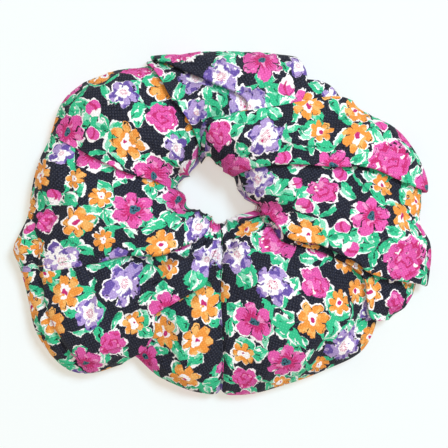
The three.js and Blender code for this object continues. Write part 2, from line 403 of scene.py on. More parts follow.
def gathered(turn, share, depth):
    """How far the gathers draw the cloth in, at a way round the ring in radians and a share across it."""
    drift = 2.2 * np.sin(3 * turn + 1) + 1.6 * np.sin(5 * turn) + 1.2 * share * np.sin(2 * turn)
    return np.interp(share, *zip(*depth)) * (0.5 + 0.5 * np.cos(GATHERS * turn + drift))


above, below = (gathered(np.radians(bearing), a, depth) for depth in (GATHER_ABOVE, GATHER))
inward = inward + np.where(under[:, None], below, above)

# The lengthwise seam draws the cloth in along a narrow groove.
inward = inward + 0.9 * np.exp(-np.abs(np.arange(ROWS) - SEAM_ROW) / 0.8)[:, None]

# Soft creases pressed into the top of the cloth: (x, y) points, how deep, how wide.
CREASES = [
    ([(14.4, 29.0), (16.9, 19.4)], 1.0, 2.0),
    ([(-52.7, -6.5), (-49.3, -2.3), (-45.6, 6.2), (-42.8, 10.4), (-42.8, 16.1), (-41.4, 21.7)], 1.5, 2.2),
    ([(-53.8, 0.8), (-53.8, -12.4), (-51.8, -21.7), (-41.4, -40.3)], 1.6, 1.6),
    ([(-35.8, -3.1), (-37.7, -12.4), (-36.1, -14.4), (-36.6, -21.7)], 0.9, 2.0),
]  # fmt: skip


def crease_depth(x, y):
    """How deep the soft creases are at those places."""
    total = np.zeros_like(x)
    for line, depth, width in CREASES:
        nearest = np.full(x.shape, 99.0)
        for (ax, ay), (bx, by) in zip(line[:-1], line[1:]):
            length = (bx - ax) ** 2 + (by - ay) ** 2
            t = np.clip(((x - ax) * (bx - ax) + (y - ay) * (by - ay)) / length, 0, 1)
            nearest = np.minimum(nearest, np.hypot(x - ax - t * (bx - ax), y - ay - t * (by - ay)))
        total += depth * np.exp(-((nearest / width) ** 2))
    return total


# ---------------------------------------------------------------- points

inner, outer = closed(HOLE_EDGE, bearing), closed(OUTLINE, bearing)
flap_outer = np.interp(np.mod(bearing, 360), [p[0] for p in FLAP_OUTLINE], [p[1] for p in FLAP_OUTLINE])
outer = outer + (flap_outer - outer) * flap[None, :]
radius = inner + across[:, None] * (outer - inner)
height = np.broadcast_to(up[:, None] * TOP, radius.shape)


def section_normal():
    """The way inwards at each row of the plain tube's section: away from the hole, and up."""
    nxt = np.roll(np.arange(ROWS), -1)
    prv = np.roll(np.arange(ROWS), 1)
    dr, dz = across[nxt] - across[prv], (up[nxt] - up[prv]) * TOP / SECTION_WIDTH
    length = np.hypot(dr, dz)
    return dz / length, -dr / length  # clockwise travel over the top, so inwards is to the right


normal_r, normal_z = section_normal()
angle = np.radians(bearing)
creased = crease_depth(HOLE[0] + radius * np.cos(angle), HOLE[1] + radius * np.sin(angle))
inward = inward + np.where(under[:, None], 0.0, creased)
radius = radius + inward * normal_r[:, None]
height = np.maximum(height + inward * normal_z[:, None], 0.0)
points = np.stack([HOLE[0] + radius * np.cos(angle), HOLE[1] + radius * np.sin(angle), height], axis=-1)


def grid_mesh(name, pts):
    """A closed tube of quads through a grid of points, rows round the section and columns round the ring."""
    rows, cols = pts.shape[:2]
    index = np.arange(rows * cols).reshape(rows, cols)
    right, nxt = np.roll(index, -1, 1), np.roll(index, -1, 0)
    corner = np.roll(right, -1, 0)
    faces = np.stack([index, nxt, corner, right], axis=-1).reshape(-1, 4)
    mesh = bpy.data.meshes.new(name)
    mesh.from_pydata((pts.reshape(-1, 3) * MM).tolist(), [], faces.tolist())
    mesh.update()
    mesh.shade_smooth()
    obj = bpy.data.objects.new(name, mesh)
    bpy.context.scene.collection.objects.link(obj)
    return obj


# ---------------------------------------------------------------- letting the cloth settle

SIM_SCALE = 20  # the cloth is let go at twenty times its size, where Blender's solver behaves well
SIM_FRAMES = 24
MOST_SHIFT = 2.6  # the most that any point may settle by


def settle(pts):
    """Lets the panels go as cloth, held at the folds and a little longer than the space that they have."""
    rows, cols = pts.shape[:2]
    sim = grid_mesh("sim", pts * SIM_SCALE)
    held = sim.vertex_groups.new(name="held")
    longer = sim.vertex_groups.new(name="longer")
    hold = np.clip(1 - loose * FREE_ROWS[:, None], 0, 1).ravel()
    grow = (np.exp(-across / 0.35)[:, None] * np.ones(cols)[None, :]).ravel()
    for group, weights in ((held, hold), (longer, grow)):
        steps = np.round(weights * 20).astype(int)
        for value in range(1, 21):
            group.add(np.nonzero(steps == value)[0].tolist(), value / 20, "REPLACE")
    cloth = sim.modifiers.new("settle", "CLOTH")
    c = cloth.settings
    c.quality = 4
    c.mass = 0.25
    c.tension_stiffness, c.compression_stiffness, c.shear_stiffness = 12, 12, 4
    c.bending_stiffness = 0.6
    c.tension_damping, c.compression_damping, c.shear_damping, c.bending_damping = 5, 5, 5, 0.5
    c.air_damping = 2
    c.effector_weights.gravity = 0.0
    c.vertex_group_mass = "held"
    c.pin_stiffness = 1.0
    c.vertex_group_shrink = "longer"
    c.shrink_min, c.shrink_max = -0.05, -0.14
    cloth.collision_settings.use_collision = False
    cloth.collision_settings.use_self_collision = False
    cloth.point_cache.frame_start, cloth.point_cache.frame_end = 1, SIM_FRAMES
    scene = bpy.context.scene
    for step in range(1, SIM_FRAMES + 1):
        scene.frame_set(step)
    done = sim.evaluated_get(bpy.context.evaluated_depsgraph_get()).to_mesh()
    settled = np.zeros(rows * cols * 3)
    done.vertices.foreach_get("co", settled)
    sim_mesh = sim.data
    bpy.data.objects.remove(sim)
    bpy.data.meshes.remove(sim_mesh)
    scene.frame_set(1)
    shift = settled.reshape(pts.shape) / MM / SIM_SCALE - pts
    far = np.maximum(np.linalg.norm(shift, axis=2, keepdims=True), 1e-9)
    out = pts + shift * MOST_SHIFT * np.tanh(far / MOST_SHIFT) / far
    out[..., 2] = np.clip(out[..., 2], 0, None)
    return out


# How far each row is let go: not at all underneath, at the hole's edge or at the rim.
FREE_ROWS = np.where(under, 0.0, smooth(across / 0.06) * smooth((1 - across) / 0.08))
points = settle(points)

# ---------------------------------------------------------------- the print

PRINTED = ("flowers", "sprigs", "leaves")  # the printed layers, from the top
CLOTH = 200.0  # the side of the square of printed cloth that the panels are cut from
WINDOW = 110.0  # the most of it that one panel takes up
KINDS = dict(rose=0, blossom=1, lilac=2, daisy=3, bud=4)
# kind, least and greatest radius, how many
FLOWERS = [
    ("rose", 6.4, 7.4, 18), ("lilac", 5.4, 6.6, 44), ("blossom", 5.6, 6.6, 20), ("daisy", 4.6, 5.4, 64),
    ("rose", 4.0, 4.8, 36), ("lilac", 3.8, 4.8, 50), ("daisy", 3.2, 4.2, 50), ("bud", 2.0, 2.8, 60),
]  # fmt: skip
SPRIGS = ((6.6, 9.0), (5.8, 8.0))  # for each layer, the length of a leaf and the space between sprigs
SPRIG_TRIES = 9000


def scatter(rng, kind, low, high, wanted, placed):
    """Adds up to wanted discs of about that radius to placed, none of them over another."""
    for _ in range(wanted * 60):
        if wanted == 0:
            return
        r = rng.uniform(low, high)
        x, y = rng.uniform(0, CLOTH, 2)
        if placed:
            others = np.array([p[:3] for p in placed])
            if np.min(np.hypot(others[:, 0] - x, others[:, 1] - y) - others[:, 2]) < r:
                continue
        placed.append((x, y, r, kind, rng.uniform(0, 2 * math.pi), rng.uniform()))
        wanted -= 1


def print_layout(rng):
    """Flowers, then two layers of leaf sprigs whose stalks start outside the flowers."""
    flowers = []
    for kind, low, high, wanted in FLOWERS:
        scatter(rng, KINDS[kind], low, high, wanted, flowers)
    blooms = np.array(flowers)
    layers, stalks = [blooms], np.array([[-99.0, -99.0]])
    for leaf, spacing in SPRIGS:
        sprigs = []
        for x, y in rng.uniform(0, CLOTH, (SPRIG_TRIES, 2)):
            clear = np.min(np.hypot(blooms[:, 0] - x, blooms[:, 1] - y) - blooms[:, 2])
            crowd = np.min(np.hypot(stalks[:, 0] - x, stalks[:, 1] - y))
            apart = min([math.hypot(x - s[0], y - s[1]) for s in sprigs], default=99)
            if -1.5 < clear < 5.0 and apart > spacing and crowd > 3.0:
                sprigs.append((x, y, leaf, rng.integers(1, 4), rng.uniform(0, 2 * math.pi), rng.uniform()))
        layers.append(np.array(sprigs, float))
        stalks = np.vstack([stalks, layers[-1][:, :2]])
    return layers


def motif_coordinates(flat, centres, motifs):
    """For each face, which motif it belongs to, and its corners' places in that motif, over its radius."""
    d = np.linalg.norm(centres[:, None, :] - motifs[None, :, :2], axis=2) ** 2 - motifs[None, :, 2] ** 2
    m = motifs[np.argmin(d, axis=1)]
    local = flat - m[:, None, :2]
    c, s = np.cos(m[:, None, 4]), np.sin(m[:, None, 4])
    x = (local[..., 0] * c + local[..., 1] * s) / m[:, None, 2]
    y = (local[..., 1] * c - local[..., 0] * s) / m[:, None, 2]
    kind = np.broadcast_to(m[:, None, 3], x.shape)
    luck = np.broadcast_to(m[:, None, 5], x.shape)
    return np.stack([x, y, kind, luck], axis=-1)


def lay_print(obj):
    """Gives every face its place on the flat cloth, and on the flowers and leaves printed there.

    Each panel is a window cut out of the cloth, and past the lengthwise seam, underneath, another one. A
    place in it is a bearing and a distance from the middle of the hole: top_q over the top, where the section
    is unrolled, and low_q underneath.
    """
    rng = np.random.default_rng(SEED)
    n = len(FOLDS)
    mean_bearing = np.zeros(n)
    for k in range(n):
        nxt = lines[(k + 1) % n] + (360 if k == n - 1 else 0)
        mean_bearing[k] = float(np.mean(((lines[k] + nxt) / 2)[~under]))
    plain = inner + across[:, None] * (outer - inner)
    reach = run_mm[:, None] * (outer - inner) / SECTION_WIDTH
    top_q = plain + 0.75 * np.maximum(reach - (plain - inner), 0)
    top_q = np.where(under[:, None], top_q[RIM] + reach - reach[RIM], top_q)
    wall = np.where(across < 0.1, up * TOP, 0)[:, None]
    low_q = plain - 0.8 * wall
    index_row, index_col = np.meshgrid(np.arange(ROWS), np.arange(COLUMNS), indexing="ij")
    corner_rows = np.stack([index_row, index_row + 1, index_row + 1, index_row], -1).reshape(-1, 4) % ROWS
    corner_cols = np.stack([index_col, index_col, index_col + 1, index_col + 1], -1).reshape(-1, 4) % COLUMNS
    is_top = index_row.reshape(-1) < SEAM_ROW
    face_panel = panel[index_col.reshape(-1)]
    q = np.where(is_top[:, None], top_q[corner_rows, corner_cols], low_q[corner_rows, corner_cols])
    face_turn = np.radians(bearing[corner_rows, corner_cols] - mean_bearing[face_panel][:, None])
    face_turn = (face_turn + math.pi) % (2 * math.pi) - math.pi
    flat = np.stack([q * np.cos(face_turn), q * np.sin(face_turn)], axis=-1)

    uv = np.zeros((len(face_panel), 4, 2))
    values = [np.zeros((len(face_panel), 4, 4)) for _ in PRINTED]
    layout = print_layout(rng)
    for k in range(n):
        for top in (True, False):
            slant = rng.uniform(-0.2, 0.2)
            cut_at = rng.uniform(WINDOW / 2, CLOTH - WINDOW / 2, 2)
            here = np.nonzero((face_panel == k) & (is_top == top))[0]
            if len(here) == 0:
                continue
            c, s = math.cos(slant), math.sin(slant)
            f = flat[here] @ np.array([[c, s], [-s, c]])
            middle = (f.min(axis=(0, 1)) + f.max(axis=(0, 1))) / 2
            f = f - middle + cut_at
            uv[here] = f * MM
            centres = f.mean(axis=1)
            for store, motifs in zip(values, layout):
                store[here] = motif_coordinates(f, centres, motifs)
    obj.data.uv_layers.new(name="cloth")
    obj.data.uv_layers["cloth"].data.foreach_set("uv", uv.astype(np.float32).ravel())
    for name, store in zip(PRINTED, values):
        obj.data.attributes.new(name, "FLOAT_COLOR", "CORNER")
        obj.data.attributes[name].data.foreach_set("color", store.astype(np.float32).ravel())


# ---------------------------------------------------------------- materials


def linear(code):
    """A colour written as on a screen, such as e84fa8, as the shader's linear red, green, blue, alpha."""
    parts = [int(code[i : i + 2], 16) / 255 for i in (0, 2, 4)]
    return tuple(c / 12.92 if c <= 0.04045 else ((c + 0.055) / 1.055) ** 2.4 for c in parts) + (1.0,)


class Shader:
    """Short ways to write a node tree: each call adds a node and gives back its output."""

    def __init__(self, name):
        self.material = bpy.data.materials.new(name)
        self.material.use_nodes = True
        self.tree = self.material.node_tree
        self.bsdf = self.tree.nodes["Principled BSDF"]

    def put(self, socket, value):
        if isinstance(value, bpy.types.NodeSocket):
            self.tree.links.new(value, socket)
        else:
            socket.default_value = value

    def node(self, kind, inputs=(), output=0, **settings):
        n = self.tree.nodes.new(kind)
        for key, value in settings.items():
            setattr(n, key, value)
        for key, value in dict(inputs).items():
            self.put(n.inputs[key], value)
        return n.outputs[output]

    def math(self, op, *values):
        n = self.tree.nodes.new("ShaderNodeMath")
        n.operation = op
        for socket, value in zip(n.inputs, values):
            self.put(socket, value)
        return n.outputs[0]

    def add(self, a, b):
        return self.math("ADD", a, b)

    def sub(self, a, b):
        return self.math("SUBTRACT", a, b)

    def mul(self, *values):
        out = values[0]
        for value in values[1:]:
            out = self.math("MULTIPLY", out, value)
        return out

    def step(self, value, low, high):
        """0 below low and 1 above high; low may be the greater, which turns it round."""
        n = self.tree.nodes.new("ShaderNodeMapRange")
        n.interpolation_type = "SMOOTHSTEP"
        flip = low > high
        self.put(n.inputs["Value"], value)
        n.inputs["From Min"].default_value = min(low, high)
        n.inputs["From Max"].default_value = max(low, high)
        n.inputs["To Min"].default_value = 1 if flip else 0
        n.inputs["To Max"].default_value = 0 if flip else 1
        return n.outputs["Result"]

    def both(self, *values):
        """1 where every one of the steps is 1."""
        return self.mul(*values)

    def equals(self, value, number):
        """1 where a whole value is that number."""
        return self.math("COMPARE", value, number, 0.3)

    def mix(self, share, a, b, blend="MIX"):
        n = self.tree.nodes.new("ShaderNodeMix")
        n.data_type, n.blend_type = "RGBA", blend
        self.put(n.inputs[0], share)
        self.put(n.inputs[6], a)
        self.put(n.inputs[7], b)
        return n.outputs[2]

    def choose(self, value, stops):
        """One number for each whole value of kind."""
        out = stops[0]
        for i, stop in enumerate(stops[1:], 1):
            more = self.math("GREATER_THAN", value, i - 0.5)
            out = self.add(out, self.mul(more, stop - stops[i - 1]))
        return out

    def noise(self, vector, scale, detail=2.0, output=0, rough=0.5):
        inputs = {"Vector": vector, "Scale": scale, "Detail": detail, "Roughness": rough}
        return self.node("ShaderNodeTexNoise", inputs, output=output)

    def vector(self, op, vector, values):
        return self.node("ShaderNodeVectorMath", {0: vector, 1: values}, operation=op)

    def split(self, vector):
        n = self.tree.nodes.new("ShaderNodeSeparateXYZ")
        self.put(n.inputs[0], vector)
        return n.outputs[0], n.outputs[1], n.outputs[2]

    def cloth_mm(self):
        """The place on the flat cloth, in millimetres."""
        uv = self.node("ShaderNodeUVMap", uv_map="cloth")
        return self.vector("MULTIPLY", uv, (1000, 1000, 1000))

    def darken(self, colour, shade):
        """The colour times one number."""
        grey = self.node("ShaderNodeCombineXYZ", {0: shade, 1: shade, 2: shade})
        return self.mix(1.0, colour, grey, blend="MULTIPLY")

    def finish(self, colour, height, strength, distance, roughness, sheen):
        """Wires up the colour and the bump, and sets the rest on the shader itself."""
        bump = self.node("ShaderNodeBump", {"Height": height, "Strength": strength, "Distance": distance})
        self.put(self.bsdf.inputs["Base Color"], colour)
        self.put(self.bsdf.inputs["Normal"], bump)
        self.bsdf.inputs["Roughness"].default_value = roughness
        self.bsdf.inputs["Sheen Weight"].default_value = sheen
        return self.material


INK = dict(
    ground=linear("2b2f3e"), pink=linear("df5cac"), magenta=linear("c43074"), rose_light=linear("ee92c8"),
    lilac=linear("b09bd2"), purple=linear("6a56a6"), orange=linear("ee9a44"), yellow=linear("f3b869"),
    green=linear("38c18e"), mint=linear("8ce0bf"), deep_green=linear("239a72"), teal=linear("3a6f80"),
    white=linear("fbfafc"), black=linear("191b24"),
)  # fmt: skip


def polar(s, x, y):
    """The distance and the angle of a place in a motif."""
    r = s.math("SQRT", s.add(s.mul(x, x), s.mul(y, y)))
    return r, s.math("ARCTAN2", y, x)


def motif(s, name, wobble, amount):
    """A printed layer's own coordinates, shaken a little, with its kind and its luck."""
    n = s.tree.nodes.new("ShaderNodeAttribute")
    n.attribute_name = name
    x, y, kind = s.split(n.outputs["Vector"])
    wx, wy, _ = wobble
    x = s.add(x, s.mul(s.sub(wx, 0.5), amount))
    y = s.add(y, s.mul(s.sub(wy, 0.5), amount))
    return x, y, kind, n.outputs["Alpha"]


def flowers(s, colour, wobble, patch, fine):
    """Five kinds of flower, painted over colour. patch and fine are noises that break up the paint."""
    x, y, kind, luck = motif(s, "flowers", wobble, 0.75)
    r, a = polar(s, x, y)
    petals = s.choose(kind, [5, 6, 5, 7, 3])
    cut = s.choose(kind, [0.26, 0.34, 0.36, 0.40, 0.15])
    wave = s.math("ABSOLUTE", s.math("COSINE", s.mul(a, petals, 0.5)))
    tip = s.math("POWER", wave, 0.7)
    ragged = s.mul(s.sub(fine, 0.5), 0.16)
    edge = s.add(s.sub(1.0, s.mul(cut, s.sub(1.0, tip))), ragged)
    inside = s.sub(edge, r)
    body = s.step(inside, 0.0, 0.03)
    # a white rim on one side, wider in places
    side = s.math("COSINE", s.sub(a, s.mul(luck, 2 * math.pi)))
    reach = s.add(s.mul(s.add(side, -0.25), 0.12), s.mul(s.sub(patch[0], 0.46), 0.6))
    rim = s.step(s.add(inside, reach), -0.015, 0.015)

    blossom, lilac, daisy, bud = (s.equals(kind, KINDS[k]) for k in ("blossom", "lilac", "daisy", "bud"))
    streak = s.math("SINE", s.add(s.mul(a, 17.0), s.mul(patch[1], 8.0)))
    # roses: pink, with magenta and thin dark lines curling towards the middle
    curl = s.math("SINE", s.add(s.add(s.mul(r, 11.0), a), s.mul(patch[1], 11.0)))
    rose_paint = s.mix(s.both(s.step(curl, 0.45, 0.7), s.step(r, 1.0, 0.7)), INK["pink"], INK["magenta"])
    rose_paint = s.mix(s.step(patch[2], 0.60, 0.64), rose_paint, INK["rose_light"])
    rose_paint = s.mix(s.step(s.add(patch[2], s.mul(r, 0.06)), 0.36, 0.32), rose_paint, INK["magenta"])
    rose_line = s.both(s.step(s.math("ABSOLUTE", s.add(curl, 0.1)), 0.12, 0.04), s.step(patch[0], 0.50, 0.56))
    rose_paint = s.mix(rose_line, rose_paint, INK["black"])
    rose_paint = s.mix(s.both(s.step(patch[0], 0.34, 0.30), s.step(r, 0.3, 0.5)), rose_paint, INK["white"])
    # blossoms: open petals, streaked towards a dark middle
    near = s.step(s.add(r, s.mul(streak, 0.12)), 0.56, 0.40)
    blossom_paint = s.mix(near, INK["pink"], INK["magenta"])
    blossom_paint = s.mix(s.step(patch[2], 0.58, 0.66), blossom_paint, INK["rose_light"])
    cleft = s.both(s.step(wave, 0.22, 0.10), s.step(r, 0.30, 0.42), s.step(r, 1.0, 0.8))
    blossom_paint = s.mix(s.both(cleft, s.step(patch[0], 0.42, 0.5)), blossom_paint, INK["black"])
    blossom_paint = s.mix(s.step(s.add(r, s.mul(fine, 0.12)), 0.30, 0.24), blossom_paint, INK["teal"])
    blossom_paint = s.mix(s.both(s.step(r, 0.16, 0.12), s.step(fine, 0.5, 0.55)), blossom_paint, INK["black"])
    # lilac flowers: white inside, purple at some of the petals' ends
    pale = s.step(s.add(r, s.mul(s.sub(patch[1], 0.5), 1.8)), 0.57, 0.49)
    lilac_paint = s.mix(pale, INK["lilac"], INK["white"])
    end = s.both(s.step(s.add(patch[0], s.mul(r, 0.16)), 0.62, 0.67), s.step(r, 0.30, 0.42))
    lilac_paint = s.mix(end, lilac_paint, INK["purple"])
    cleft = s.both(s.step(wave, 0.20, 0.08), s.step(r, 0.25, 0.4))
    lilac_paint = s.mix(s.both(cleft, s.step(patch[2], 0.45, 0.52)), lilac_paint, INK["purple"])
    dots = s.both(s.step(r, 0.26, 0.20), s.step(streak, 0.1, 0.4), s.step(r, 0.06, 0.10))
    lilac_paint = s.mix(dots, lilac_paint, INK["magenta"])
    # daisies: pointed petals, a white middle and a pink dot
    daisy_paint = s.mix(s.step(patch[2], 0.50, 0.60), INK["orange"], INK["yellow"])
    eye = s.step(s.add(r, s.mul(s.sub(patch[0], 0.5), 1.1)), 0.34, 0.28)
    daisy_paint = s.mix(eye, daisy_paint, INK["white"])
    dot = s.step(s.add(r, s.mul(s.sub(patch[1], 0.5), 0.5)), 0.17, 0.12)
    daisy_paint = s.mix(dot, daisy_paint, INK["magenta"])
    cleft = s.both(s.step(wave, 0.24, 0.10), s.step(r, 0.40, 0.55), s.step(patch[1], 0.48, 0.54))
    daisy_paint = s.mix(cleft, daisy_paint, INK["black"])
    # buds: half closed, white on one side
    bud_paint = s.mix(s.step(s.add(x, s.mul(s.sub(patch[1], 0.5), 1.6)), 0.2, 0.4), INK["pink"], INK["white"])
    arc = s.math("ABSOLUTE", s.add(s.sub(y, 0.25), s.mul(x, x, 0.6)))
    bud_paint = s.mix(s.both(s.step(arc, 0.2, 0.1), s.step(x, 0.6, 0.3)), bud_paint, INK["magenta"])

    paint = s.mix(blossom, rose_paint, blossom_paint)
    paint = s.mix(lilac, paint, lilac_paint)
    paint = s.mix(daisy, paint, daisy_paint)
    paint = s.mix(bud, paint, bud_paint)
    # pen strokes just inside the edge, here and there
    pen = s.math("ABSOLUTE", s.sub(s.sub(inside, 0.09), s.mul(s.sub(patch[2], 0.5), 0.5)))
    paint = s.mix(s.both(s.step(pen, 0.035, 0.015), s.step(patch[1], 0.54, 0.58)), paint, INK["black"])
    colour = s.mix(rim, colour, INK["white"])
    return s.mix(body, colour, paint)


def leaves(s, name, colour, wobble, patch, fine):
    """Sprigs of one to three pointed leaves round a point."""
    x, y, kind, luck = motif(s, name, wobble, 0.5)
    r, a = polar(s, x, y)
    slice_angle = s.math("MINIMUM", s.math("DIVIDE", 2 * math.pi * 0.66, kind), 2.2)
    folded = s.math("WRAP", a, s.mul(slice_angle, 0.5), s.mul(slice_angle, -0.5))
    ahead = s.step(s.sub(s.math("ABSOLUTE", a), s.mul(slice_angle, kind, 0.5)), 0.01, 0.0)
    along = s.mul(r, s.math("COSINE", folded))
    aside = s.mul(r, s.math("SINE", folded))
    belly = s.math("MAXIMUM", s.mul(along, s.sub(1.0, along), 4.0), 0.0)
    width = s.mul(s.math("POWER", belly, 0.7), s.add(0.22, s.mul(luck, 0.10)))
    inside = s.add(s.sub(width, s.math("ABSOLUTE", aside)), s.mul(s.sub(fine, 0.5), 0.13))
    ahead = s.both(ahead, s.step(along, 0.0, 0.02))
    body = s.both(s.step(inside, 0.0, 0.03), ahead)
    reach = s.add(s.mul(aside, 0.20), s.mul(s.sub(patch[1], 0.47), 0.36))
    rim = s.both(s.step(s.add(inside, reach), -0.012, 0.012), ahead)
    lit = s.step(s.add(aside, s.mul(s.sub(patch[2], 0.5), 1.2)), 0.10, 0.18)
    paint = s.mix(lit, INK["green"], INK["mint"])
    paint = s.mix(s.step(patch[0], 0.40, 0.34), paint, INK["deep_green"])
    stroke = s.math("ABSOLUTE", s.add(aside, s.mul(s.sub(patch[1], 0.5), 0.3)))
    paint = s.mix(s.both(s.step(stroke, 0.045, 0.015), s.step(patch[2], 0.52, 0.56)), paint, INK["white"])
    paint = s.mix(s.both(s.step(stroke, 0.035, 0.012), s.step(patch[2], 0.46, 0.42)), paint, INK["black"])
    colour = s.mix(rim, colour, INK["white"])
    return s.mix(body, colour, paint)


def printed_cotton():
    """The printed side: leaves, then flowers, on a navy ground, and then the weave, with painted shade
    between its threads and painted highlights on their crowns.
    """
    s = Shader("printed_cotton")
    mm = s.cloth_mm()
    wobble = s.split(s.noise(mm, 0.22, detail=3.0, output=1, rough=0.6))
    patch = s.split(s.noise(s.vector("ADD", mm, (37, 11, 5)), 0.40, detail=1.5, output=1))
    fine = s.noise(mm, 1.7, detail=2.0)
    colour = s.mix(s.step(fine, 0.35, 0.7), INK["ground"], INK["black"])
    colour = leaves(s, "leaves", colour, wobble, patch, fine)
    colour = leaves(s, "sprigs", colour, wobble, patch, fine)
    colour = flowers(s, colour, wobble, patch, fine)
    thread = weave_of(s, mm, THREAD)
    slub = s.noise(s.vector("MULTIPLY", mm, (0.25, 2.4, 1)), 1.0, detail=2)
    # painted shade: the colour is darker where the threads dip between each other; the slub adds tone that
    # varies at random
    colour = s.darken(colour, s.add(0.73, s.add(s.mul(thread, 0.30), s.mul(slub, 0.14))))
    # painted highlight: a little white on the threads' crowns
    colour = s.mix(s.both(s.step(thread, 0.85, 1.05), 0.03), colour, INK["white"])
    s.bsdf.inputs["Sheen Roughness"].default_value = 0.5
    s.bsdf.inputs["Specular IOR Level"].default_value = 0.1
    return s.finish(colour, s.add(thread, s.mul(slub, 0.4)), 0.35, 0.00008, roughness=0.85, sheen=0.03)


def weave_of(s, mm, pitch):
    """How high the threads of a plain weave stand, from 0 to about 1.3."""
    x, y, _ = s.split(mm)
    warp, weft = (s.math("SINE", s.mul(v, math.pi / pitch)) for v in (x, y))
    flat = s.mul(s.add(s.math("ABSOLUTE", warp), s.math("ABSOLUTE", weft)), 0.5)
    return s.add(flat, s.mul(warp, weft, 0.35))


def cloth_back():
    """The unprinted side: greyish, with the print's colours just coming through, and painted shade between
    the threads.
    """
    s = Shader("cloth_back")
    mm = s.cloth_mm()
    thread = weave_of(s, mm, THREAD)
    patch = s.noise(mm, 0.22, detail=2.0, output=1)
    colour = s.mix(s.step(s.noise(mm, 0.2), 0.45, 0.6), linear("8b8a92"), linear("c9c4c6"))
    colour = s.mix(0.18, colour, patch)
    # painted shade: darker where the threads dip between each other
    colour = s.darken(colour, s.add(0.72, s.mul(thread, 0.3)))
    return s.finish(colour, thread, 0.4, 0.0001, roughness=0.95, sheen=0.1)


def braid():
    """Off-white braided elastic: thin yarns crossing at a slant over the rubber cords, with painted shade in
    the grooves between the yarns.
    """
    s = Shader("braided_elastic")
    mm = s.cloth_mm()
    x, y, _ = s.split(mm)
    one = s.math("ABSOLUTE", s.math("SINE", s.mul(s.add(x, y), math.pi / YARN)))
    other = s.math("ABSOLUTE", s.math("SINE", s.mul(s.sub(x, y), math.pi / YARN)))
    yarn = s.math("MAXIMUM", one, other)
    fuzz = s.noise(mm, 6.0, detail=3.0)
    # painted shade: greyer where the yarns dip, lighter on their crowns
    colour = s.mix(s.step(yarn, 0.55, 0.95), linear("b9b5ab"), linear("f4f1ea"))
    colour = s.mix(s.mul(fuzz, 0.2), colour, linear("dcd6c8"))
    return s.finish(colour, s.add(yarn, s.mul(fuzz, 0.3)), 0.6, 0.00012, roughness=0.85, sheen=0.15)


def sewing_thread():
    """Spun navy thread, streaked darker and lighter along its length; the lighter streaks are painted
    highlights where loose hairs of the thread catch the light.
    """
    s = Shader("sewing_thread")
    fibre_glint = s.noise(s.vector("MULTIPLY", s.cloth_mm(), (2.0, 14.0, 1)), 1.0, detail=3.0)
    # painted highlight: the lighter streaks stand for loose hairs catching the light
    colour = s.mix(s.step(fibre_glint, 0.4, 0.7), linear("20222d"), linear("474b5e"))
    return s.finish(colour, fibre_glint, 0.4, 0.00005, roughness=0.6, sheen=0.2)


# ---------------------------------------------------------------- the pieces


def stretches(piece, slot, *nodes):
    """Bakes the piece's place into its mesh and hides the imported parts that it stands for."""
    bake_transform(piece)
    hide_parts(*nodes)


def sweep(name, path, profile, upright=False, turns=0.0, material=None):
    """A closed profile (n x 2, to the side and up) carried along an open path of points, with flat ends."""
    path, profile = np.asarray(path, float), np.asarray(profile, float)
    count, sides = len(path), len(profile)
    tangent = np.gradient(path, axis=0)
    tangent /= np.linalg.norm(tangent, axis=1, keepdims=True)
    side = np.cross(tangent[0], [0, 0, 1.0] if abs(tangent[0][2]) < 0.9 else [1.0, 0, 0])
    rings = []
    for i in range(count):
        if upright:
            side = np.cross(tangent[i], [0, 0, 1.0])
        side = side - tangent[i] * np.dot(side, tangent[i])
        side /= np.linalg.norm(side)
        lift = np.cross(side, tangent[i])
        angle = 2 * math.pi * turns * i / count
        c, s = math.cos(angle), math.sin(angle)
        u, v = profile[:, :1] * c - profile[:, 1:] * s, profile[:, :1] * s + profile[:, 1:] * c
        rings.append(path[i] + u * side + v * lift)
    points = np.concatenate(rings)
    index = np.arange(count * sides).reshape(count, sides)
    nxt = np.roll(index, -1, axis=1)
    faces = np.stack([index[:-1], index[1:], nxt[1:], nxt[:-1]], axis=-1).reshape(-1, 4).tolist()
    faces += [index[0].tolist(), index[-1][::-1].tolist()]
    mesh = bpy.data.meshes.new(name)
    mesh.from_pydata((points * MM).tolist(), [], faces)
    mesh.update()
    mesh.shade_smooth()
    run = np.concatenate([[0], np.cumsum(np.linalg.norm(np.diff(path, axis=0), axis=1))])
    sides_mm = np.linalg.norm(np.roll(profile, -1, axis=0) - profile, axis=1)
    girth = np.concatenate([[0], np.cumsum(sides_mm)])
    uv = np.zeros((len(mesh.loops), 2))
    ring, spot = np.meshgrid(np.arange(count - 1), np.arange(sides), indexing="ij")
    steps = ((0, 0), (1, 0), (1, 1), (0, 1))
    corners = np.stack([np.stack([run[ring + i], girth[spot + j]], -1) for i, j in steps], 2)
    uv[: corners.size // 2] = corners.reshape(-1, 2) * MM
    mesh.uv_layers.new(name="cloth")
    mesh.uv_layers["cloth"].data.foreach_set("uv", uv.astype(np.float32).ravel())
    obj = bpy.data.objects.new(name, mesh)
    bpy.context.scene.collection.objects.link(obj)
    mesh.materials.append(material)
    return obj


def ring_at(bearings, r, z):
    """Points round the ring at those bearings."""
    b = np.radians(bearings)
    return np.stack([HOLE[0] + r * np.cos(b), HOLE[1] + r * np.sin(b), np.broadcast_to(z, b.shape)], axis=-1)


def along_line(line, step):
    """The same line with points at even steps, and how far along each point is."""
    run = np.concatenate([[0], np.cumsum(np.linalg.norm(np.diff(line, axis=0), axis=1))])
    at = np.linspace(0, run[-1], max(4, int(run[-1] / step)))
    return np.stack([np.interp(at, run, line[:, k]) for k in range(3)], axis=-1), at


def plied(radius, plies=3, sides=12):
    """The section of a thread twisted from that many plies."""
    t = np.linspace(0, 2 * math.pi, sides, endpoint=False)
    r = radius * (0.82 + 0.18 * np.abs(np.cos(t * plies / 2)))
    return np.stack([r * np.cos(t), -r * np.sin(t)], axis=-1)


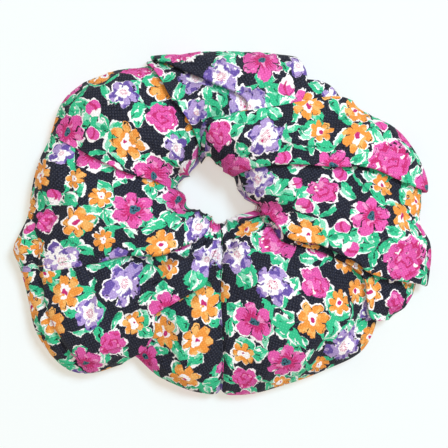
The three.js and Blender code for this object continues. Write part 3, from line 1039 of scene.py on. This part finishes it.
def stitched(line, out, into):
    """A line of stitches: out is the way off the cloth, and the thread sinks to into between them."""
    phase = (line[1] / STITCH) % 1.0
    rise = into + (THREAD_RADIUS - into) * smooth(np.minimum(phase, 1 - phase) / 0.22)
    return line[0] + out * rise[:, None]


print_side, back_side = printed_cotton(), cloth_back()
navy = sewing_thread()


def sewn(name, path, length):
    """A thread along the path, with its plies twisted."""
    return sweep(name, path, plied(THREAD_RADIUS), turns=length / PLY_TWIST, material=navy)


# The printed cover.
cover = grid_mesh("cover", points)
lay_print(cover)
cover.data.materials.append(print_side)
thicken = cover.modifiers.new("thickness", "SOLIDIFY")
thicken.thickness = CLOTH_THICKNESS * MM
thicken.offset = -1
stretches(cover, "cover_print", *[n for n in frame["nodes"] if n.startswith("cover_")])

# The elastic: one strip whose ends lap, with the rubber cords showing as ribs.
ELASTIC_RADIUS, ELASTIC_WIDTH, ELASTIC_THICKNESS, ELASTIC_LAP, PLY_STEP = 27.0, 6.0, 1.0, 26.0, 1.4
ELASTIC_START = -80.0
CORDS = 6
elastic_low, elastic_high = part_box("elastic_band")
elastic_z = (elastic_low[2] + elastic_high[2]) / 2 / MM
bearings = np.linspace(ELASTIC_START, ELASTIC_START + 360 + ELASTIC_LAP, 420)
spiral = ELASTIC_RADIUS + PLY_STEP * ((bearings - ELASTIC_START) / 360 - 0.5)
v = np.linspace(-1, 1, CORDS * 6 + 1)
cord_ribs = 0.78 + 0.22 * np.abs(np.sin((v + 1) / 2 * CORDS * math.pi))
rib = ELASTIC_THICKNESS / 2 * cord_ribs * (1 - 0.3 * np.abs(v) ** 8)
half = np.stack([rib, v * ELASTIC_WIDTH / 2], axis=-1)
profile = np.vstack([half, (half * [-1, 1])[::-1]])
elastic = sweep("elastic", ring_at(bearings, spiral, elastic_z), profile, upright=True, material=braid())
stretches(elastic, "elastic", "elastic_band")

# Its lapped ends are sewn together with a thread wound over both plies.
JOIN_TURNS = 5
join_half_side = PLY_STEP / 2 + ELASTIC_THICKNESS / 2 + THREAD_RADIUS + 0.15
join_half_up = ELASTIC_WIDTH / 2 + THREAD_RADIUS + 0.2
count = JOIN_TURNS * 48
t = np.linspace(0, 1, count)
swing = 2 * math.pi * JOIN_TURNS * t
join_bearing = ELASTIC_START + ELASTIC_LAP * (0.2 + 0.6 * t)
lap_radius = ELASTIC_RADIUS + PLY_STEP * (ELASTIC_LAP / 2) / 360
join_radius = lap_radius + join_half_side * np.clip(1.6 * np.cos(swing), -1, 1)
join_z = elastic_z + join_half_up * np.clip(1.6 * np.sin(swing), -1, 1)
join_path, run = along_line(ring_at(join_bearing, join_radius, join_z), 0.2)
join = sewn("elastic_join_stitches", join_path, run[-1])
stretches(join, "thread", "elastic_join_thread")

# The closing stitches go round the section, along the bottom of the seam's groove.
seam_column = int(np.nonzero((own == 0) & (np.abs(bearing[0] - lines[0][0]) < 1e-6))[0][0])
groove = np.roll(points[:, seam_column], -RIM // 2, axis=0)
centre = groove.mean(axis=0)
groove, run = along_line(groove, 0.25)
outwards = groove - centre
outwards[:, 2] *= 2.5
outwards /= np.linalg.norm(outwards, axis=1, keepdims=True)
closing = stitched((groove, run), outwards, -0.5)
closing_stitches = sewn("closing_seam_stitches", closing, run[-1])
stretches(closing_stitches, "thread", "closing_seam_thread")

# Inside, the raw edges of the lengthwise seam: two plies that ride just clear of the gathers under them.
allowance_low, allowance_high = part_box("lengthwise_seam_allowance")
allowance_z = (allowance_low[2] + allowance_high[2]) / 2 / MM
bearings = np.linspace(-85, 271, 700)
hole_r, outer_r = closed(HOLE_EDGE, bearings), closed(OUTLINE, bearings)
edge_r = hole_r + 0.76 * (outer_r - hole_r)
path = ring_at(bearings, edge_r, 0)
lining = points[under].reshape(-1, 3)
reach = np.hypot(path[:, :1] - lining[:, 0], path[:, 1:2] - lining[:, 1])
lift = np.max(np.where(reach < 4.5, lining[:, 2], 0), axis=1)
lift = np.convolve(np.pad(lift, 4, mode="edge"), np.full(9, 1 / 9), mode="valid")
ply_z = np.maximum(allowance_z, lift + 0.9)
plies = [(3, -0.4), (3, 0.4), (-3, 0.4), (-3, 0.08), (2.6, 0.08), (2.6, -0.08), (-3, -0.08), (-3, -0.4)]
allowance = sweep("lengthwise_seam_edges", ring_at(bearings, edge_r, ply_z), np.array(plies) * [1, 0.9],
                  upright=True, material=back_side)
stretches(allowance, "fabric_back", "lengthwise_seam_allowance")

# And the line of stitches that holds them.
top_of_plies = ply_z + 0.36
seam_line, run = along_line(ring_at(bearings, edge_r + 2.0, top_of_plies), 0.25)
lengthwise = stitched((seam_line, run), np.array([[0, 0, 1.0]]), -0.4)
lengthwise_stitches = sewn("lengthwise_seam_stitches", lengthwise, run[-1])
stretches(lengthwise_stitches, "thread", "lengthwise_seam_thread")

# ---------------------------------------------------------------- stage

floor_mesh = bpy.data.meshes.new("floor")
floor_mesh.from_pydata([(-2, -2, 0), (2, -2, 0), (2, 2, 0), (-2, 2, 0)], [], [(0, 1, 2, 3)])
floor = bpy.data.objects.new("floor", floor_mesh)
floor.location.z = -0.0003
bpy.context.scene.collection.objects.link(floor)
floor_material = bpy.data.materials.new("floor")
floor_material.use_nodes = True
floor_inputs = floor_material.node_tree.nodes["Principled BSDF"].inputs
floor_inputs["Base Color"].default_value = (0.37, 0.485, 0.555, 1)
floor_inputs["Roughness"].default_value = 1.0
floor_inputs["Specular IOR Level"].default_value = 0.0
floor_inputs["Emission Color"].default_value = (0.51, 0.43, 0.35, 1)
floor_inputs["Emission Strength"].default_value = 1.0
floor.data.materials.append(floor_material)
floor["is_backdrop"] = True


def area_light(name, location, size, power, color):
    """A square light that faces the origin."""
    data = bpy.data.lights.new(name, "AREA")
    data.size, data.energy, data.color = size, power, color
    light = bpy.data.objects.new(name, data)
    light.location = location
    light.rotation_mode = "QUATERNION"
    light.rotation_quaternion = (-light.location).to_track_quat("-Z", "Y")
    bpy.context.scene.collection.objects.link(light)


area_light("key", (0.68, 0.62, 1.78), 0.5, 28, (0.9, 1.0, 1.1))
area_light("overhead", (0.0, 0.0, 1.9), 0.4, 7.8, (0.9, 1.0, 1.1))
world = bpy.data.worlds.new("world")
world.use_nodes = True
world.node_tree.nodes["Background"].inputs["Color"].default_value = (1, 0.77, 0.55, 1)
world.node_tree.nodes["Background"].inputs["Strength"].default_value = 0.46
bpy.context.scene.world = world
bpy.context.scene.view_settings.view_transform = "Standard"

camera_data = bpy.data.cameras.new("camera")
camera_data.lens = 100
camera_data.sensor_width = 36
camera = bpy.data.objects.new("camera", camera_data)
VIEW_WIDTH = 126.2 * MM
VIEW_HEIGHT = 12 * MM  # the level in the cloth at which the view is that wide
camera.location = (0, 0, VIEW_WIDTH * camera_data.lens / camera_data.sensor_width + VIEW_HEIGHT)
bpy.context.scene.collection.objects.link(camera)
bpy.context.scene.camera = camera

low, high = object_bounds()
